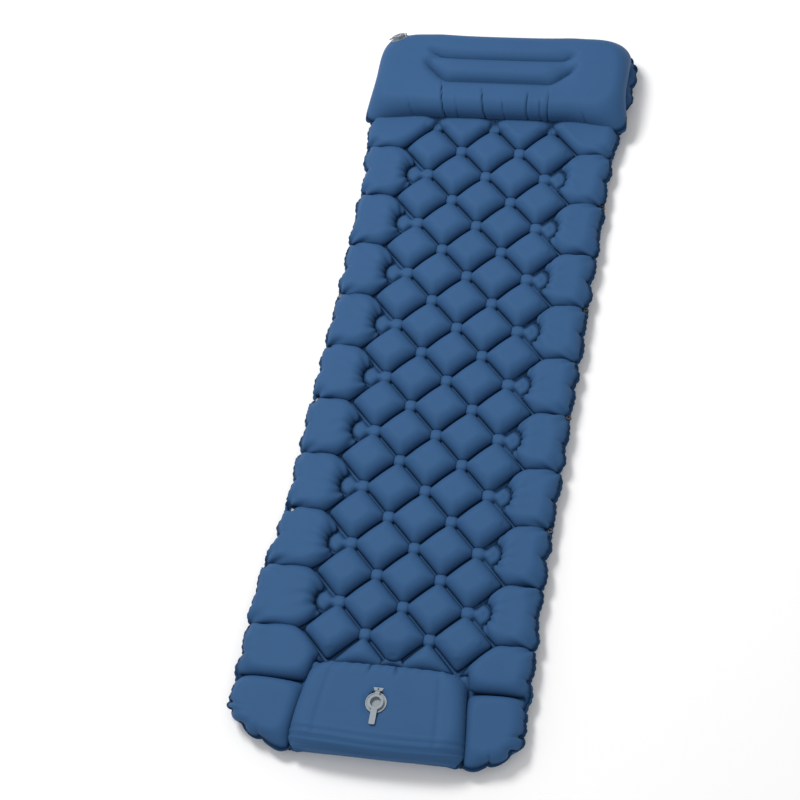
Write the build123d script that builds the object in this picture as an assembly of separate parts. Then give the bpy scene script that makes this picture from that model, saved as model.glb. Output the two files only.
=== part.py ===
from build123d import *
import os

# An air mattress for camping: two sheets welded together in a lattice, a raised pillow at the head and
# a foot pump built into the foot end. Millimetres, +Z up, +Y to the head, +X to the sleeper's left
# hand when lying on the back. The origin is on the ground, under the middle of the mattress.

# Driving dimensions of the welded body
CELL = 142.0  # one diamond of the weld lattice, corner to corner
ROW_PITCH = CELL / 2  # knots sit on rows half a diamond apart
ROW_1_Y = 686.0  # the row of knots under the pillow's edge
LAST_SIDE_ROW = 23
FIRST_SIDE_ROW = -1
HALF_WIDTH = 283.0  # air chambers, inside the welded edge
HALF_LENGTH = 931.0
CORNER_RADIUS = 56.0
WELD_Z = 27.0  # height of the welded edge above the ground
MAT_TOP = 55.0
SHEET_ROUNDING = 20.0

# Welded edge
EDGE_THICKNESS = 0.8
EDGE_NOTCH_X = 291.0
HEAD_NOTCH_X = 306.0  # the edge is wider beside the pillow
EDGE_END_Y = 940.0
EDGE_CORNER_R = 64.0
SIDE_LOBE = 11.0  # how far a lobe stands out past its two notches
CORNER_LOBE = 7.0
END_LOBE = 5.0
CORNER_NOTCHES = 3
HEAD_LOBES = 6

# Pillow
PILLOW_HALF_WIDTH = 300.0
PILLOW_FRONT_Y = 695.0
PILLOW_BACK_Y = 930.0
PILLOW_TOP = 99.0
PILLOW_CORNER = 45.0
PILLOW_ROUNDING = 28.0

# Foot pump
PUMP_HALF_WIDTH = 166.0
PUMP_FRONT_Y = -929.0  # towards the feet
PUMP_BACK_Y = -741.0
PUMP_FLOOR = 5.0
PUMP_TOP = 77.0
PUMP_PANEL = 3.0
PUMP_WALL = 1.2
PUMP_GAP = 2.5  # between the bladder and the cells beside it
FOAM_MARGIN = 8.0
FOAM_TOP = 72.0

# Inlet valve on the pump
INLET_X = -7.0
INLET_Y = -833.0
INLET_FLANGE_R = 23.0
INLET_TUBE_R = 15.0
INLET_BORE_R = 13.2
INLET_COLLAR_R = 16.8
INLET_COLLAR_TOP = PUMP_TOP + 4.5
INLET_BOTTOM = PUMP_TOP - 11.0
INLET_HINGE_Y = 17.6  # from the valve's centre to the strap's fold

# One-way valve between the pump and the mattress
PORT_HALF_WIDTH = 17.5
PORT_LOW = 11.0
PORT_HIGH = 33.0

# Head valve, on a facet at the pillow's corner
HEAD_VALVE_AT = (-269.0, 911.0, 87.0)
HEAD_VALVE_NORMAL = (-0.30, 0.55, 0.78)
HEAD_VALVE_ACROSS = (0.55, 0.30, 0.0)
FACET_R = 30.0
HEAD_FLANGE_R = 22.0
HEAD_TUBE_R = 15.6
HEAD_BORE_R = 13.2
HEAD_TUBE_TOP = 6.0
HEAD_TUBE_BOTTOM = -10.0
INFLATE_BORE_R = 8.2

# Press studs along both edges, which join two mattresses side by side
SNAP_ROWS = (4, 8, 12, 16)
SNAP_CAP_R = 6.0
STUD_R = 3.0
STUD_LENGTH = 3.0
SOCKET_R = 5.5
SOCKET_BORE_R = 3.05
TAB_R = 8.5

parts = {}


def row_y(row):
    return ROW_1_Y - (row - 1) * ROW_PITCH


def block(x, y, z):
    """A box from its three ranges."""
    size = [high - low for low, high in (x, y, z)]
    centre = [(low + high) / 2 for low, high in (x, y, z)]
    return Pos(*centre) * Box(*size)


def disc(radius, z, centre=(0, 0)):
    """An upright cylinder over a range of heights."""
    base = (Align.CENTER, Align.CENTER, Align.MIN)
    return Pos(centre[0], centre[1], z[0]) * Cylinder(radius, z[1] - z[0], align=base)


def taper(bottom_radius, top_radius, z, centre=(0, 0)):
    base = (Align.CENTER, Align.CENTER, Align.MIN)
    return Pos(centre[0], centre[1], z[0]) * Cone(bottom_radius, top_radius, z[1] - z[0], align=base)


def profile(points, half_depth):
    """A polygon in the YZ plane, made solid along X."""
    outline = make_face(Polyline(*[(0, y, z) for y, z in points], close=True))
    return extrude(outline, amount=half_depth, dir=(1, 0, 0), both=True)


def ring_of_spokes(radius, hub_radius, hole_radius, z, count=3, width=2.0):
    """Spokes that carry a hub across a bore, with a hole in the hub for a membrane's stem."""
    spoke = block((0, radius), (-width / 2, width / 2), z)
    spokes = [Rot(0, 0, 90 + i * 360 / count) * spoke for i in range(count)]
    carrier = disc(hub_radius, z)
    for one in spokes:
        carrier += one
    return carrier & disc(radius, z) - disc(hole_radius, z)


# ---- The two sheets and the welded edge ---------------------------------------------------------


def chamber(z, rounded_end):
    """Half of the air body: a slab with its outer edges rounded on one face."""
    slab = extrude(RectangleRounded(2 * HALF_WIDTH, 2 * HALF_LENGTH, CORNER_RADIUS), amount=z[1] - z[0])
    slab = Pos(0, 0, z[0]) * slab
    return fillet(slab.edges().group_by(Axis.Z)[rounded_end], SHEET_ROUNDING)


pump_pocket_x = PUMP_HALF_WIDTH + PUMP_GAP
pump_pocket = block(
    (-pump_pocket_x, pump_pocket_x),
    (-HALF_LENGTH - 1, PUMP_BACK_Y + PUMP_GAP),
    (PUMP_FLOOR, MAT_TOP + 1),
)
port_pocket = block((-22, 22), (PUMP_BACK_Y, PUMP_BACK_Y + 29), (8, 40))

parts["bottom_sheet"] = chamber((0, WELD_Z), 0) - pump_pocket - port_pocket
parts["top_sheet"] = chamber((WELD_Z, MAT_TOP), -1) - pump_pocket - port_pocket


def outward_arc(start, end, bulge, inside):
    """A lobe of the welded edge, bowed away from a point inside the mattress."""
    middle = (Vector(*start) + Vector(*end)) / 2
    chord = Vector(*end) - Vector(*start)
    outward = Vector(chord.Y, -chord.X).normalized()
    if outward.dot(middle - Vector(*inside)) < 0:
        outward = outward * -1
    return ThreePointArc(start, middle + outward * bulge, end)


def half_edge():
    """Notches of the outline on the +X side, from the head end's middle to the pump's corner.

    Each is x, y and the bulge of the lobe that ends there.
    """
    corner_x = EDGE_NOTCH_X - EDGE_CORNER_R
    head_corner_x = HEAD_NOTCH_X - EDGE_CORNER_R
    corner_y = EDGE_END_Y - EDGE_CORNER_R
    step = 90 / CORNER_NOTCHES
    head_step = 2 * head_corner_x / HEAD_LOBES
    points = [(head_step * i, EDGE_END_Y, END_LOBE) for i in range(HEAD_LOBES // 2 + 1)]
    for i in range(1, CORNER_NOTCHES + 1):
        spot = Vector(head_corner_x, corner_y) + Vector(0, EDGE_CORNER_R).rotate(Axis.Z, -step * i)
        points.append((spot.X, spot.Y, CORNER_LOBE))
    for row in range(FIRST_SIDE_ROW, LAST_SIDE_ROW + 1):
        widening = max(0.0, (2 - row) / 3) * (HEAD_NOTCH_X - EDGE_NOTCH_X)
        points.append((EDGE_NOTCH_X + widening, row_y(row), SIDE_LOBE))
    for i in range(1, CORNER_NOTCHES + 1):
        spot = Vector(corner_x, -corner_y) + Vector(EDGE_CORNER_R, 0).rotate(Axis.Z, -step * i)
        points.append((spot.X, spot.Y, CORNER_LOBE))
    points.append((PUMP_HALF_WIDTH, -EDGE_END_Y, END_LOBE))
    return points


def lobed_face():
    right = half_edge()
    edges = []
    for (x0, y0, _), (x1, y1, bulge) in zip(right, right[1:]):
        inside = (0, (y0 + y1) / 2 * 0.9)
        edges.append(outward_arc((x0, y0), (x1, y1), bulge, inside))
        edges.append(outward_arc((-x0, y0), (-x1, y1), bulge, inside))
    edges.append(Line((-PUMP_HALF_WIDTH, -EDGE_END_Y), (PUMP_HALF_WIDTH, -EDGE_END_Y)))
    return make_face(Wire(edges))


edge_z = (WELD_Z - EDGE_THICKNESS / 2, WELD_Z + EDGE_THICKNESS / 2)
edge_seam = Pos(0, 0, edge_z[0]) * extrude(lobed_face(), amount=EDGE_THICKNESS)
snap_x = EDGE_NOTCH_X
for row in SNAP_ROWS:
    for side in (-1, 1):
        edge_seam += disc(TAB_R, edge_z, (side * snap_x, row_y(row)))
inner = extrude(RectangleRounded(2 * HALF_WIDTH, 2 * HALF_LENGTH, CORNER_RADIUS), amount=EDGE_THICKNESS)
edge_seam -= Pos(0, 0, edge_z[0]) * inner

# ---- Press studs --------------------------------------------------------------------------------

STUD_POST_R = 1.8
stud_spots = [(-snap_x, row_y(row)) for row in SNAP_ROWS]
socket_spots = [(snap_x, row_y(row)) for row in SNAP_ROWS]
for spot in stud_spots + socket_spots:
    edge_seam -= disc(STUD_POST_R, edge_z, spot)
parts["edge_seam"] = edge_seam


def group(make, spots):
    """One node that holds the same fastener at every spot."""
    return Compound(children=[make(spot) for spot in spots])


def stud_cap(spot):
    cap = disc(SNAP_CAP_R, (edge_z[1], edge_z[1] + 1.6), spot)
    cap = fillet(cap.edges().group_by(Axis.Z)[-1], 0.8)
    return cap + disc(STUD_POST_R, edge_z, spot)


def stud(spot):
    base = disc(5.0, (edge_z[0] - 1.0, edge_z[0]), spot)
    tip = disc(STUD_R, (edge_z[0] - 1.0 - STUD_LENGTH, edge_z[0] - 1.0), spot)
    nose = taper(STUD_R - 0.6, STUD_R, (edge_z[0] - 1.6 - STUD_LENGTH, edge_z[0] - 1.0 - STUD_LENGTH), spot)
    return base + tip + nose


def socket_cap(spot):
    cap = disc(SNAP_CAP_R, (edge_z[0] - 1.6, edge_z[0]), spot)
    cap = fillet(cap.edges().group_by(Axis.Z)[0], 0.8)
    return cap + disc(STUD_POST_R, edge_z, spot)


def socket(spot):
    body = disc(SOCKET_R, (edge_z[1], edge_z[1] + 4.2), spot)
    body = fillet(body.edges().group_by(Axis.Z)[-1], 0.6)
    return body - disc(SOCKET_BORE_R, (edge_z[1] + 0.8, edge_z[1] + 4.2), spot)


parts["snap_stud_caps"] = group(stud_cap, stud_spots)
parts["snap_studs"] = group(stud, stud_spots)
parts["snap_socket_caps"] = group(socket_cap, socket_spots)
parts["snap_sockets"] = group(socket, socket_spots)

# ---- Foot pump: side wall, foam block and the top panel that the heel presses -------------------

wall_z = (PUMP_FLOOR, PUMP_TOP - PUMP_PANEL)
wall_x = (-PUMP_HALF_WIDTH, PUMP_HALF_WIDTH)
wall_y = (PUMP_FRONT_Y, PUMP_BACK_Y)
inside_x = (-PUMP_HALF_WIDTH + PUMP_WALL, PUMP_HALF_WIDTH - PUMP_WALL)
inside_y = (PUMP_FRONT_Y + PUMP_WALL, PUMP_BACK_Y - PUMP_WALL)
port_x = (-PORT_HALF_WIDTH, PORT_HALF_WIDTH)
port_hole = block(port_x, (PUMP_BACK_Y - PUMP_WALL - 1, PUMP_BACK_Y + 1), (PORT_LOW, PORT_HIGH))
side_wall = block(wall_x, wall_y, wall_z) - block(inside_x, inside_y, wall_z)
parts["pump_side_wall"] = side_wall - port_hole

foam_x = PUMP_HALF_WIDTH - FOAM_MARGIN
foam_y = (PUMP_FRONT_Y + FOAM_MARGIN, PUMP_BACK_Y - FOAM_MARGIN)
inlet_at = (INLET_X, INLET_Y)
foam = block((-foam_x, foam_x), foam_y, (PUMP_FLOOR, FOAM_TOP))
foam = fillet(foam.edges().filter_by(Axis.Z), 12)
parts["pump_foam_block"] = foam - disc(INLET_TUBE_R + 4, (INLET_BOTTOM - 16, FOAM_TOP), inlet_at)

panel = block(wall_x, wall_y, (PUMP_TOP - PUMP_PANEL, PUMP_TOP))
panel = fillet(panel.edges().filter_by(Axis.Z), 10)
panel_hole = disc(INLET_TUBE_R, (PUMP_TOP - PUMP_PANEL, PUMP_TOP), inlet_at)
parts["pump_top_panel"] = panel - panel_hole

# ---- Inlet valve: base, one-way membrane, plug cap and its strap --------------------------------

flange_top = PUMP_TOP + 1.2
base = disc(INLET_FLANGE_R, (PUMP_TOP, flange_top))
base += disc(INLET_FLANGE_R, (flange_top, flange_top + 0.8)) - disc(20.5, (flange_top, flange_top + 0.8))
base += disc(INLET_COLLAR_R, (flange_top, INLET_COLLAR_TOP))
base += disc(INLET_TUBE_R, (INLET_BOTTOM, PUMP_TOP))
base -= disc(INLET_BORE_R, (INLET_BOTTOM, INLET_COLLAR_TOP))
base += ring_of_spokes(INLET_BORE_R + 0.5, 3.2, 1.5, (INLET_BOTTOM, INLET_BOTTOM + 1.6))
parts["inlet_valve_base"] = Pos(*inlet_at) * base

membrane_top = INLET_BOTTOM - 0.2
membrane = disc(14.2, (membrane_top - 0.6, membrane_top))
membrane += disc(1.4, (membrane_top, INLET_BOTTOM + 3.3))
membrane += taper(2.4, 1.2, (INLET_BOTTOM + 3.3, INLET_BOTTOM + 5.3))
parts["inlet_membrane"] = Pos(*inlet_at) * membrane

rim = (INLET_COLLAR_TOP + 0.2, INLET_COLLAR_TOP + 2.2)
plug_bottom = INLET_COLLAR_TOP - 7.0
cap = disc(17.0, rim)
cap += taper(11.5, 12.9, (plug_bottom, rim[0]))
cap -= taper(10.3, 11.8, (plug_bottom + 1.2, rim[1]))
cap_tab = block((-6.5, 6.5), (-50, -14), (rim[0], rim[0] + 1.8))
cap_tab = fillet(cap_tab.edges().filter_by(Axis.Z).group_by(Axis.Y)[0], 3)
cap_ear = block((-5.0, 5.0), (14, INLET_HINGE_Y - 0.3), rim)
cap += cap_tab + cap_ear
cap -= taper(10.3, 11.8, (plug_bottom + 1.2, rim[1]))
parts["inlet_plug_cap"] = Pos(*inlet_at) * cap

neck_top = rim[1] - 0.3
neck = profile(
    [
        (INLET_HINGE_Y + 0.3, neck_top),
        (22.5, neck_top),
        (28.0, PUMP_TOP + 1.8),
        (34.0, PUMP_TOP + 1.8),
        (34.0, PUMP_TOP),
        (23.6, PUMP_TOP),
        (23.6, PUMP_TOP + 2.2),
        (21.4, rim[0]),
        (INLET_HINGE_Y + 0.3, rim[0]),
    ],
    5.0,
)
tab_outline = make_face(Polyline((-8, 27), (8, 27), (11, 34), (-11, 34), close=True))
strap = neck + Pos(0, 0, PUMP_TOP) * extrude(tab_outline, amount=1.8)
strap -= disc(2.0, (PUMP_TOP, PUMP_TOP + 3), (0, 30.5))
parts["inlet_strap"] = Pos(*inlet_at) * strap

# ---- One-way valve in the wall between the pump and the mattress --------------------------------

plate_y = (PUMP_BACK_Y - 3.0, PUMP_BACK_Y + 2.0)
plate = block(port_x, plate_y, (PORT_LOW, PORT_HIGH))
for x in (-11, 0, 11):
    plate -= Pos(x, (plate_y[0] + plate_y[1]) / 2, PORT_LOW + 9) * Rot(90, 0, 0) * Cylinder(3.5, 8)
clamp = block((-15.5, 15.5), (plate_y[1], plate_y[1] + 1.6), (PORT_HIGH - 2.6, PORT_HIGH - 0.5))
parts["transfer_valve_body"] = plate + clamp
flap_y = (plate_y[1] + 0.3, plate_y[1] + 0.9)
parts["transfer_valve_flap"] = block((-15.5, 15.5), flap_y, (PORT_LOW + 2.5, PORT_HIGH - 2.9))

# ---- Pillow, with a facet at its corner for the head valve --------------------------------------

valve_plane = Plane(HEAD_VALVE_AT, x_dir=HEAD_VALVE_ACROSS, z_dir=HEAD_VALVE_NORMAL)
pillow_x = (-PILLOW_HALF_WIDTH, PILLOW_HALF_WIDTH)
pillow = block(pillow_x, (PILLOW_FRONT_Y, PILLOW_BACK_Y), (MAT_TOP, PILLOW_TOP))
pillow = fillet(pillow.edges().filter_by(Axis.Z), PILLOW_CORNER)
pillow = fillet(pillow.edges().group_by(Axis.Z)[-1], PILLOW_ROUNDING)
facet_cut = disc(FACET_R, (0, 60)) + disc(HEAD_TUBE_R, (HEAD_TUBE_BOTTOM, 0))
parts["pillow_cover"] = pillow - valve_plane.location * facet_cut

# ---- Head valve: base, deflate plug, one-way membrane, inflate cap and strap --------------------

DEFLATE_HINGE_X = 17.6
INFLATE_HINGE_X = -15.3
layer_1 = (HEAD_TUBE_TOP + 0.2, HEAD_TUBE_TOP + 2.3)  # rim of the deflate plug
layer_2 = (layer_1[1] + 0.2, layer_1[1] + 2.0)  # rim of the inflate cap

valve_base = disc(HEAD_FLANGE_R, (0, 1.4)) + disc(HEAD_TUBE_R, (HEAD_TUBE_BOTTOM, HEAD_TUBE_TOP))
valve_base -= disc(HEAD_BORE_R, (HEAD_TUBE_BOTTOM, HEAD_TUBE_TOP))

deflate = disc(16.5, layer_1) + taper(11.0, 12.8, (-2.0, layer_1[0]))
deflate -= disc(INFLATE_BORE_R, (-0.6, layer_1[1]))
deflate -= disc(INFLATE_BORE_R, (-2.0, -0.6))
deflate += ring_of_spokes(INFLATE_BORE_R + 0.4, 2.8, 1.4, (-2.0, -0.6))
deflate += block((-24, -14), (-5, 5), layer_1) - disc(16.0, layer_1)
deflate += block((-16.3, INFLATE_HINGE_X - 0.3), (-4, 4), (layer_1[1], layer_2[1] - 0.3))

head_membrane = disc(9.8, (-2.8, -2.2)) + disc(1.3, (-2.2, 1.0))
head_membrane += taper(2.2, 1.1, (1.0, 2.6))

inflate = disc(14.0, layer_2) + taper(6.8, 7.9, (3.2, layer_2[0]))
inflate += block((INFLATE_HINGE_X + 0.3, -12), (-4, 4), layer_2)
inflate += block((-4.5, 4.5), (-22, -12), layer_2)
inflate -= taper(5.6, 6.6, (4.4, layer_2[1]))

head_strap = block((DEFLATE_HINGE_X + 0.3, 20.5), (-4, 4), (1.4, layer_1[1] - 0.3))

head_valve = {
    "head_valve_base": valve_base,
    "head_valve_strap": head_strap,
    "head_deflate_plug": deflate,
    "head_membrane": head_membrane,
    "head_inflate_cap": inflate,
}
for name, shape in head_valve.items():
    parts[name] = valve_plane.location * shape

# ---- One file for each piece --------------------------------------------------------------------

os.makedirs("parts", exist_ok=True)
for name, shape in parts.items():
    export_step(shape, f"parts/{name}.step")
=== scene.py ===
import math

import bmesh
import bpy
import numpy as np
from mathutils import Matrix, Vector


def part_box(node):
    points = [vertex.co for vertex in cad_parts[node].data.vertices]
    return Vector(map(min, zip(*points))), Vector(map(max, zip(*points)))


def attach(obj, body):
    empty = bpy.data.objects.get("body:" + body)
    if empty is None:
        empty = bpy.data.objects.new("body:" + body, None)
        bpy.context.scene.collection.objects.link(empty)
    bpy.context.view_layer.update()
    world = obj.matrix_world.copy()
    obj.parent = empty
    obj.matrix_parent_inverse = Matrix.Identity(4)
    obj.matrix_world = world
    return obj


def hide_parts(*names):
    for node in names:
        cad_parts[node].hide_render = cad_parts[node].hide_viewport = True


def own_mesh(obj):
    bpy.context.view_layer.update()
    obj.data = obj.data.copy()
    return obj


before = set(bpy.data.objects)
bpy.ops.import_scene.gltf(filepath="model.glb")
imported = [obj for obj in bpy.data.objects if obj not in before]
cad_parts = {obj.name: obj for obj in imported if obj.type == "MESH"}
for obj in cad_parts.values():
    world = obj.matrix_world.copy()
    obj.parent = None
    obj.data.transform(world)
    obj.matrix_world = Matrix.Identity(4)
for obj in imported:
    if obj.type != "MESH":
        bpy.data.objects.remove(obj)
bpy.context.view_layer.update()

# ---- Studio -------------------------------------------------------------------------------------
# A white floor, a broad soft box high on the pillow side, a weak fill from the foot, and a long lens
# that looks down on the mattress from beyond its foot.

scene = bpy.context.scene
scene.view_settings.view_transform = "Standard"

camera = bpy.data.objects.new("camera", bpy.data.cameras.new("camera"))
camera.data.lens = 101.9
camera.data.sensor_width = 36.0
camera.data.clip_end = 50.0
camera_at = Vector((1.1113, -2.5231, 4.3943))
looks_at = Vector((-0.0984, -0.0820, 0.034))
camera_roll = math.radians(-18.84)
aim = (looks_at - camera_at).to_track_quat("-Z", "Y").to_matrix().to_4x4()
camera.matrix_world = Matrix.Translation(camera_at) @ aim @ Matrix.Rotation(camera_roll, 4, "Z")
scene.collection.objects.link(camera)
scene.camera = camera

sky = bpy.data.worlds.new("soft_white")
sky.use_nodes = True
sky.node_tree.nodes["Background"].inputs["Color"].default_value = (1.0, 1.0, 1.0, 1.0)
sky.node_tree.nodes["Background"].inputs["Strength"].default_value = 0.56
scene.world = sky


def soft_box(name, place, size, watts):
    """A square area lamp that faces the middle of the mattress."""
    lamp = bpy.data.objects.new(name, bpy.data.lights.new(name, "AREA"))
    lamp.data.shape = "SQUARE"
    lamp.data.size = size
    lamp.data.energy = watts
    lamp.location = place
    lamp.rotation_euler = (-Vector(place)).to_track_quat("-Z", "Y").to_euler()
    scene.collection.objects.link(lamp)


soft_box("key_light", (-1.9, 1.5, 4.2), 1.6, 168.0)
soft_box("fill_light", (1.6, -3.0, 3.6), 2.4, 18.0)

floor_mesh = bpy.data.meshes.new("floor")
floor_reach = 9.0
floor_z = -0.0006
floor_mesh.from_pydata(
    [(-floor_reach, -floor_reach, floor_z), (floor_reach, -floor_reach, floor_z),
     (floor_reach, floor_reach, floor_z), (-floor_reach, floor_reach, floor_z)],
    [], [(0, 1, 2, 3)],
)
floor_paint = bpy.data.materials.new("floor_paint")
floor_paint.use_nodes = True
floor_paint.node_tree.nodes["Principled BSDF"].inputs["Base Color"].default_value = (0.93, 0.93, 0.93, 1.0)
floor_paint.node_tree.nodes["Principled BSDF"].inputs["Roughness"].default_value = 0.9
floor_mesh.materials.append(floor_paint)
floor = bpy.data.objects.new("floor", floor_mesh)
scene.collection.objects.link(floor)

# ---- Upper and lower sheets ---------------------------------------------------------------------
# Two sheets of nylon, each coated on its inner face, lie on each other and are welded by heat along
# the lattice, the slits of the side cells and the outline. Air between the welds lifts the upper
# sheet into squares and presses the lower sheet flat on the ground.

cell = 0.142            # one square of the lattice, corner to corner
row_1 = 0.686           # the row of knots at the pillow's edge
weld_z = 0.027
sheet_thick = 0.0004
fine = 20     # threads of the sheet to half a cell, an even number
blow_steps = 300
step = cell / 2 / fine
half_width = 4 * fine * step
head_y = row_1 + 2 * round(0.1217 / step) * step
foot_y = row_1 - 2 * round(0.8089 / step) * step
corner_r = 0.056
crown_top = 0.0595      # nothing of the body stands higher
pump_half_width = 0.170
pump_back_y = -0.741
port_half_width = 0.0215
port_cover_z = 0.0352
port_room = 0.027       # no weld comes nearer than this to the port, where its flap swings
port_top = 0.0345       # the sheet stays low over the port
ear_rise = 0.0100       # how far the small pockets beside the outer knots stand over the welds
knot_rise = 0.0130
under_pillow_top = 0.047
snap_tab_r = 0.0098
valve_hole_r = 0.0165   # the holes in the nylon under both valves


def smooth(x, low, high):
    """0 below low, 1 above high, and a soft change between them."""
    t = np.clip((x - low) / (high - low), 0.0, 1.0)
    return t * t * (3 - 2 * t)


def sheet_plan(x, y):
    """Where a point of the square grid lies once the corners are round and the edge has its lobes."""
    ax, side = np.abs(x), np.sign(x)
    along = np.where(y > 0, y - (head_y - corner_r), (foot_y + corner_r) - y)
    end = np.sign(y)
    tx = np.clip((ax - (half_width - corner_r)) / corner_r, 0.0, 1.0)
    ty = np.clip(along / corner_r, 0.0, 1.0)
    px = np.minimum(ax, half_width - corner_r) + corner_r * tx * np.sqrt(1 - ty * ty / 2)
    inner_y = np.where(y > 0, np.minimum(y, head_y - corner_r), np.maximum(y, foot_y + corner_r))
    py = inner_y + end * corner_r * ty * np.sqrt(1 - tx * tx / 2)

    turn = np.arctan2(ty * np.sqrt(1 - tx * tx / 2), tx * np.sqrt(1 - ty * ty / 2) + 1e-9)
    # Lobes of the sides, the ends and the corners, as the outline is cut
    left = x < 0
    rows = (y - row_1) / (cell / 2)
    side_lobe = np.where(left, 0.0085, 0.0075) * np.abs(np.sin(np.pi * rows)) ** 0.6
    side_lobe = side_lobe + 0.0022 * np.sin(y * 83 + 2.2 * np.sin(y * 31)) + 0.0010 * np.sin(y * 410)
    head_part = y > row_1 + cell
    side_lobe = np.where(head_part, 0.009 * np.abs(np.sin(np.pi * (y - 0.828) / 0.0454)) ** 0.75, side_lobe)
    foot_lobe = 0.008 * np.abs(np.sin(np.pi * np.clip((ax - 0.172) / 0.056, 0, 1))) ** 0.6
    end_lobe = np.where(y > 0, 0.005 * np.abs(np.sin(np.pi * (ax - 0.228) / 0.076)) ** 0.75, foot_lobe)
    corner_count = np.where((y < 0) & ~left, 4, 6)
    corner_lobe = np.where(y < 0, 0.012, 0.0085) * np.abs(np.sin(corner_count * turn)) ** 0.6
    in_corner = (tx > 0) & (ty > 0)
    bulge = np.where(in_corner, corner_lobe, np.where(ty > 0, end_lobe, side_lobe))
    go_x = np.where(in_corner, np.cos(turn), np.where(ty > 0, 0.0, 1.0))
    go_y = np.where(in_corner, np.sin(turn), np.where(ty > 0, 1.0, 0.0))
    inside = np.minimum(half_width - ax, np.where(y > 0, head_y - y, y - foot_y))
    near = smooth(-inside, -0.036, 0.0)
    px = px + go_x * bulge * near
    py = py + end * go_y * bulge * near

    # How the mattress lies when it is full: wider at the head and at the left of the foot
    outer = smooth(ax, 0.19, half_width)
    px = px + outer * np.where(left, 0.027 * smooth(y, 0.49, 0.80), 0.024 * smooth(y, 0.58, 0.84))
    down_left = 0.007 + 0.008 * smooth(-y, -0.15, 0.15) + 0.009 * smooth(-y, 0.25, 0.50)
    down_left = (down_left + 0.021 * smooth(-y, 0.39, 0.62)) * smooth(-y, -0.72, -0.60)
    down_right = 0.004 + 0.009 * smooth(-y, 0.56, 0.70)
    px = px + outer * np.where(left, down_left, down_right)

    # The foot's corners draw in, and the cells beside the pump keep clear of its spread
    py = py + np.where(left, 0.052, 0.032) * smooth(ax, 0.18, 0.30) * smooth(-y, 0.79, 0.935)
    beside_pump = smooth(ax, 0.10, 0.165) * smooth(-ax, -0.26, -0.18)
    px = px + 0.0165 * smooth(-y, 0.76, 0.935) * beside_pump
    return side * px, py


columns = np.arange(-4 * fine, 4 * fine + 1)
rows_down = np.arange(round((foot_y - row_1) / step), round((head_y - row_1) / step) + 1)
grid_x, grid_y = np.meshgrid(columns * step, row_1 + rows_down * step, indexing="ij")
grid_ax = np.abs(grid_x)
v = (grid_y - row_1) / cell


def line_gap(c):
    """Distance of the line x + y = c from the nearest weld of its family."""
    return np.abs(c - np.round(c / cell) * cell) / math.sqrt(2)


# Weld lattice: bands that stop short of each knot, where air passes
rising = line_gap(grid_x - (grid_y - row_1))
falling = line_gap(grid_x + (grid_y - row_1))
knot_r = np.hypot(rising, falling)
lattice = (grid_ax < 1.5 * cell + 1e-6) & (v > -10.02) & (v < 1.51)
open_knot = (grid_ax < 1.25 * cell) & (v > -9.75) & (v < 1.2)
band = 0.75 * step
stop = np.where(open_knot, 0.0178, 0.0)
lattice &= (v < 0.01) | (v > 0.3)       # one open channel behind the last row of knots
from_port = np.hypot(grid_x, grid_y - (row_1 - 10 * cell))
lattice &= from_port > port_room
welded = lattice & (((rising < band) & (falling >= stop)) | ((falling < band) & (rising >= stop)))

# Slits between the side cells
half_row = np.abs(v - 0.5 - np.round(v - 0.5)) * cell
slit_rows = (half_row < step / 2) & (v > -9.6)
welded |= slit_rows & (grid_ax > 1.5 * cell - 1e-6) & (grid_ax < 1.93 * cell)

# Arcs round the outer knots, which leave a small pocket beside each
ear_y = (v - np.round(v)) * cell
ear_centre = 1.2 * cell
ear_x = grid_ax - ear_centre
ear_r = 0.18 * cell
ear_d = np.hypot(ear_x, ear_y)
ear_turn = np.abs(np.arctan2(ear_y, ear_x))
ear_row = (v > -9.5) & (v < -0.5)
ear_arc = ear_row & (np.abs(ear_d - ear_r) < 0.62 * step) & (ear_turn < math.radians(74))
welded |= ear_arc

# Narrow closed strip across each foot corner
strip_y = np.where(grid_x < 0, row_1 - 10.36 * cell, row_1 - 10.28 * cell)
strip = (np.abs(grid_y - strip_y) < 1.1 * step) & (grid_ax > 1.34 * cell) & (grid_ax < 1.92 * cell)
welded |= strip

# Outline, the seam round the foot pump and the cover over its port
outline = np.zeros(grid_x.shape, bool)
outline[[0, -1], :] = True
outline[:, [0, -1]] = True
in_pump = (grid_ax < pump_half_width + 0.6 * step) & (grid_y < pump_back_y + 1.6 * step)
port = (grid_ax < port_half_width) & (grid_y > pump_back_y - 0.010) & (grid_y < pump_back_y + 1.9 * step)
welded |= outline | in_pump
pump_hole = (grid_ax < pump_half_width - 0.010) & (grid_y < pump_back_y - 0.008)
port_reach = (grid_ax < port_half_width + 1.2 * step) & (grid_y > pump_back_y - 0.010 - step)
pump_hole &= ~port_reach

flat_x, flat_y = sheet_plan(grid_x, grid_y)

# Points beside an arc are drawn on to it, so that the weld is a clean curve
pull = np.where(ear_arc, ear_r / np.maximum(ear_d, 1e-9), 1.0)
flat_x = np.where(ear_arc, np.sign(grid_x) * (ear_centre + ear_x * pull), flat_x)
flat_y = np.where(ear_arc, grid_y - ear_y + ear_y * pull, flat_y)

# A flat tab round each snap
snap_low, snap_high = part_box("snap_studs")
snap_r = (snap_high[0] - snap_low[0]) / 2
snap_x = -(snap_low[0] + snap_high[0]) / 2
for snap_y in np.linspace(snap_low[1] + snap_r, snap_high[1] - snap_r, 4):
    welded |= np.hypot(np.abs(flat_x) - snap_x, flat_y - snap_y) < snap_tab_r


def ends(a, di, dj):
    """The two ends of every thread that runs di, dj across a grid."""
    nx, ny = a.shape[:2]
    if dj >= 0:
        return a[:nx - di, :ny - dj], a[di:, dj:]
    return a[:nx - di, -dj:], a[di:, :ny + dj]


def every_other(a):
    """Every second thread of a grid both ways; anything else as it is."""
    return a[::2, ::2] if isinstance(a, np.ndarray) else a


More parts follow.
